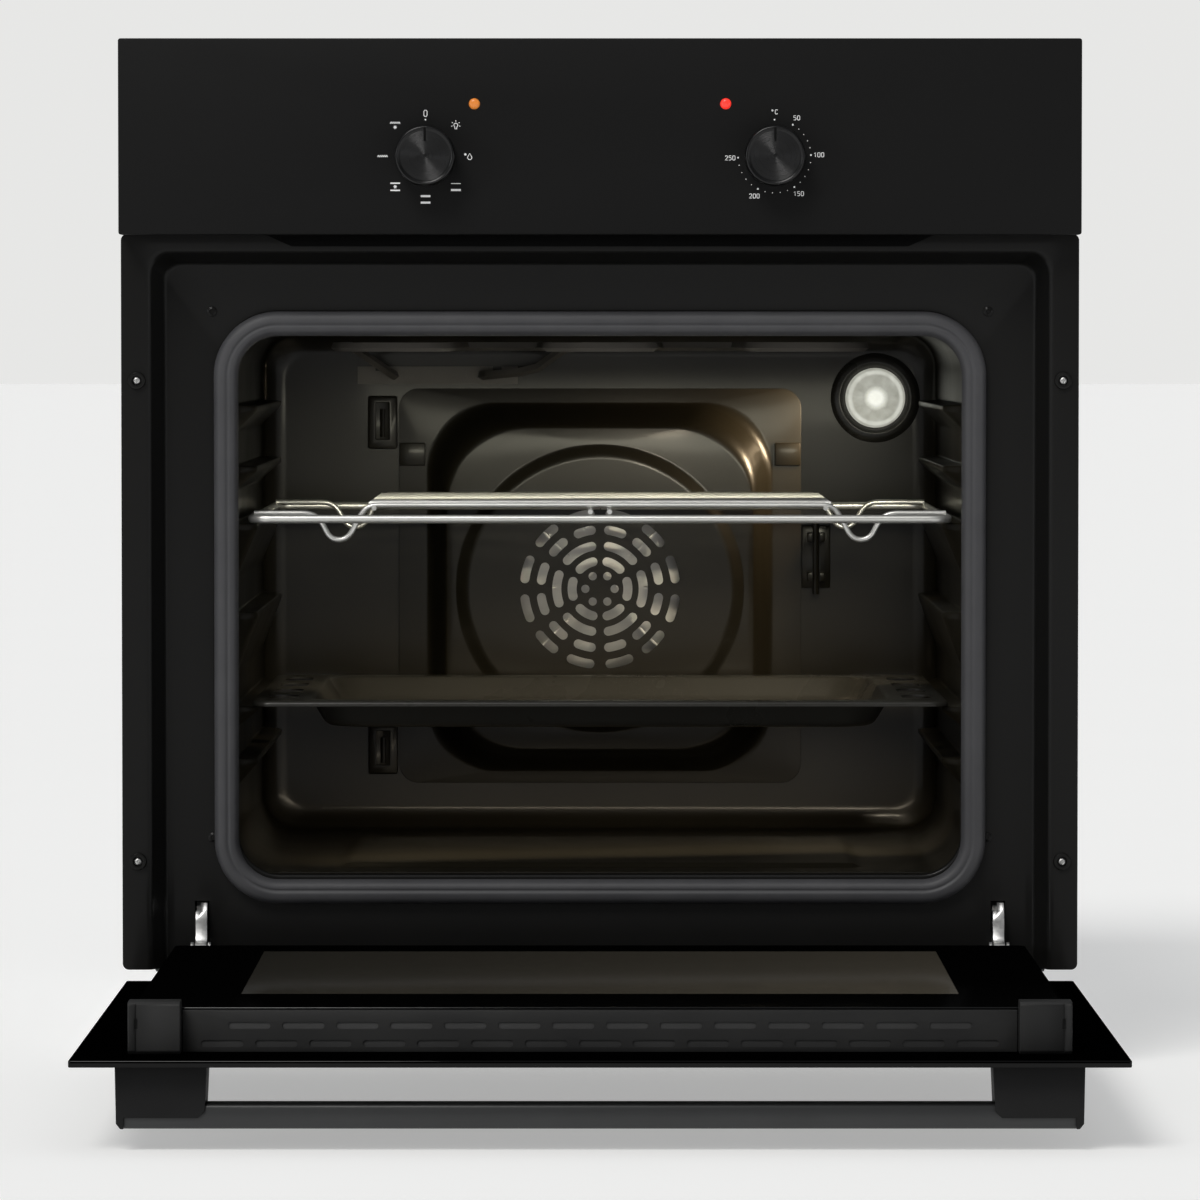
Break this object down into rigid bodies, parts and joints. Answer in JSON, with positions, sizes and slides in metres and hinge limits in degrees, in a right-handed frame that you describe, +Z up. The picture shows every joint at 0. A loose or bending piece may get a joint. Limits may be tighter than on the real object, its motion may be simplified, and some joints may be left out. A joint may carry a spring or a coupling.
{
  "type": "wall oven",
  "caption": "Built-in single electric oven with a drop-down glazed door, two control knobs, a fan-assisted enamelled cavity, a wire shelf and a baking tray.",
  "frame": {"origin": "centre of the chassis underside, on the casing base, which rests on the cabinet shelf", "axes": "+X to the right as seen from the front, +Y from the front into the cabinet, +Z up"},
  "size_m": [0.595, 0.9883, 0.6285],
  "materials": {
    "frame_enamel": "black satin enamel",
    "cavity_enamel": "dark brown-black gloss enamel on steel",
    "tray_enamel": "black gloss enamel on steel",
    "silicone": "matt grey silicone",
    "galvanised": "spangled zinc coating",
    "fan_steel": "aluminised sheet",
    "bright_steel": "bright pressed steel",
    "chrome_wire": "chrome-plated wire",
    "zinc": "bright zinc plate",
    "heater": "oxidised steel sheath",
    "bar_metal": "dark grey metallic lacquer",
    "panel_black": "fine black powder coat with white printing",
    "knob_black": "spun black anodised face",
    "black_plastic": "fine-textured black plastic",
    "door_trim": "dark grey plastic",
    "black_glass": "polished black glass, clear window in the inner pane",
    "clear_glass": "polished float glass",
    "lamp_glass": "ribbed clear glass",
    "lamp_bulb": "lit frosted bulb",
    "wool": "glass wool",
    "orange_lens": "lit orange lens",
    "red_lens": "lit red lens"
  },
  "bodies": {
    "chassis": {"front_frame": "frame_enamel", "door_gasket": "silicone", "casing_left": "galvanised", "casing_right": "galvanised", "casing_top": "galvanised", "casing_base": "galvanised", "casing_back": "galvanised", "cavity_left": "cavity_enamel", "cavity_right": "cavity_enamel", "cavity_roof": "cavity_enamel", "cavity_floor": "cavity_enamel", "cavity_back": "cavity_enamel", "sensor_bulb": "bright_steel", "fan_cover": "cavity_enamel", "fan_motor": "galvanised", "lamp_housing": "bright_steel", "lamp_glass": "lamp_glass", "lamp_bulb": "lamp_bulb", "grill_element": "heater", "bottom_element": "heater", "insulation_wrap": "wool", "air_duct": "galvanised", "cooling_fan_housing": "galvanised", "cooling_fan_motor": "black_plastic", "terminal_block": "black_plastic", "air_deflector": "black_plastic", "control_panel": "panel_black", "function_switch": "black_plastic", "thermostat": "black_plastic", "heating_light": "orange_lens", "power_light": "red_lens", "fixing_screw_1": "zinc", "fixing_screw_2": "zinc", "fixing_screw_3": "zinc", "fixing_screw_4": "zinc", "hinge_arm_left": "zinc", "hinge_arm_right": "zinc"},
    "door": {"door_outer_glass": "black_glass", "door_middle_glass": "clear_glass", "door_inner_glass": "black_glass", "door_column_left": "door_trim", "door_column_right": "door_trim", "door_corner_left": "door_trim", "door_corner_right": "door_trim", "door_vent_strip": "door_trim", "door_bottom_strip": "door_trim", "hinge_body_left": "zinc", "hinge_body_right": "zinc", "handle_post_left": "black_plastic", "handle_post_right": "black_plastic", "handle_bar": "bar_metal"},
    "hinge_rod_left": {"hinge_rod_left": "zinc"},
    "hinge_rod_right": {"hinge_rod_right": "zinc"},
    "function_knob": {"function_knob": "knob_black"},
    "thermostat_knob": {"thermostat_knob": "knob_black"},
    "wire_shelf": {"wire_shelf": "chrome_wire"},
    "baking_tray": {"baking_tray": "tray_enamel"},
    "fan_impeller": {"fan_impeller": "fan_steel"},
    "cooling_fan_rotor": {"cooling_fan_rotor": "fan_steel"}
  },
  "joints": [
    {"name": "door_hinge", "type": "hinge", "parent": "chassis", "child": "door", "pos_m": [0, -0.268, 0.015], "axis": [-1, 0, 0], "range_deg": [0, 90]},
    {"name": "hinge_rod_left_slide", "type": "slide", "parent": "door", "child": "hinge_rod_left", "axis": [0, 1, 0], "range_m": [0, 0.0101]},
    {"name": "hinge_rod_right_slide", "type": "slide", "parent": "door", "child": "hinge_rod_right", "axis": [0, 1, 0], "range_m": [0, 0.0101]},
    {"name": "function_knob_turn", "type": "hinge", "parent": "chassis", "child": "function_knob", "pos_m": [-0.1077, -0.294, 0.5085], "axis": [0, 1, 0], "continuous": true},
    {"name": "thermostat_knob_turn", "type": "hinge", "parent": "chassis", "child": "thermostat_knob", "pos_m": [0.1077, -0.294, 0.5085], "axis": [0, 1, 0], "range_deg": [0, 280]},
    {"name": "wire_shelf_slide", "type": "slide", "parent": "chassis", "child": "wire_shelf", "axis": [0, 1, 0], "range_m": [-0.3, 0]},
    {"name": "baking_tray_slide", "type": "slide", "parent": "chassis", "child": "baking_tray", "axis": [0, 1, 0], "range_m": [-0.3, 0]},
    {"name": "fan_spin", "type": "hinge", "parent": "chassis", "child": "fan_impeller", "pos_m": [0, 0.126, 0.2265], "axis": [0, 1, 0], "continuous": true},
    {"name": "cooling_fan_spin", "type": "hinge", "parent": "chassis", "child": "cooling_fan_rotor", "pos_m": [0, 0.051, 0.492], "axis": [1, 0, 0], "continuous": true}
  ],
  "couplings": [
    {"joint": "hinge_rod_left_slide", "follows": "door_hinge", "m_per_rad": 0.0063662},
    {"joint": "hinge_rod_right_slide", "follows": "door_hinge", "m_per_rad": 0.0063662}
  ]
}
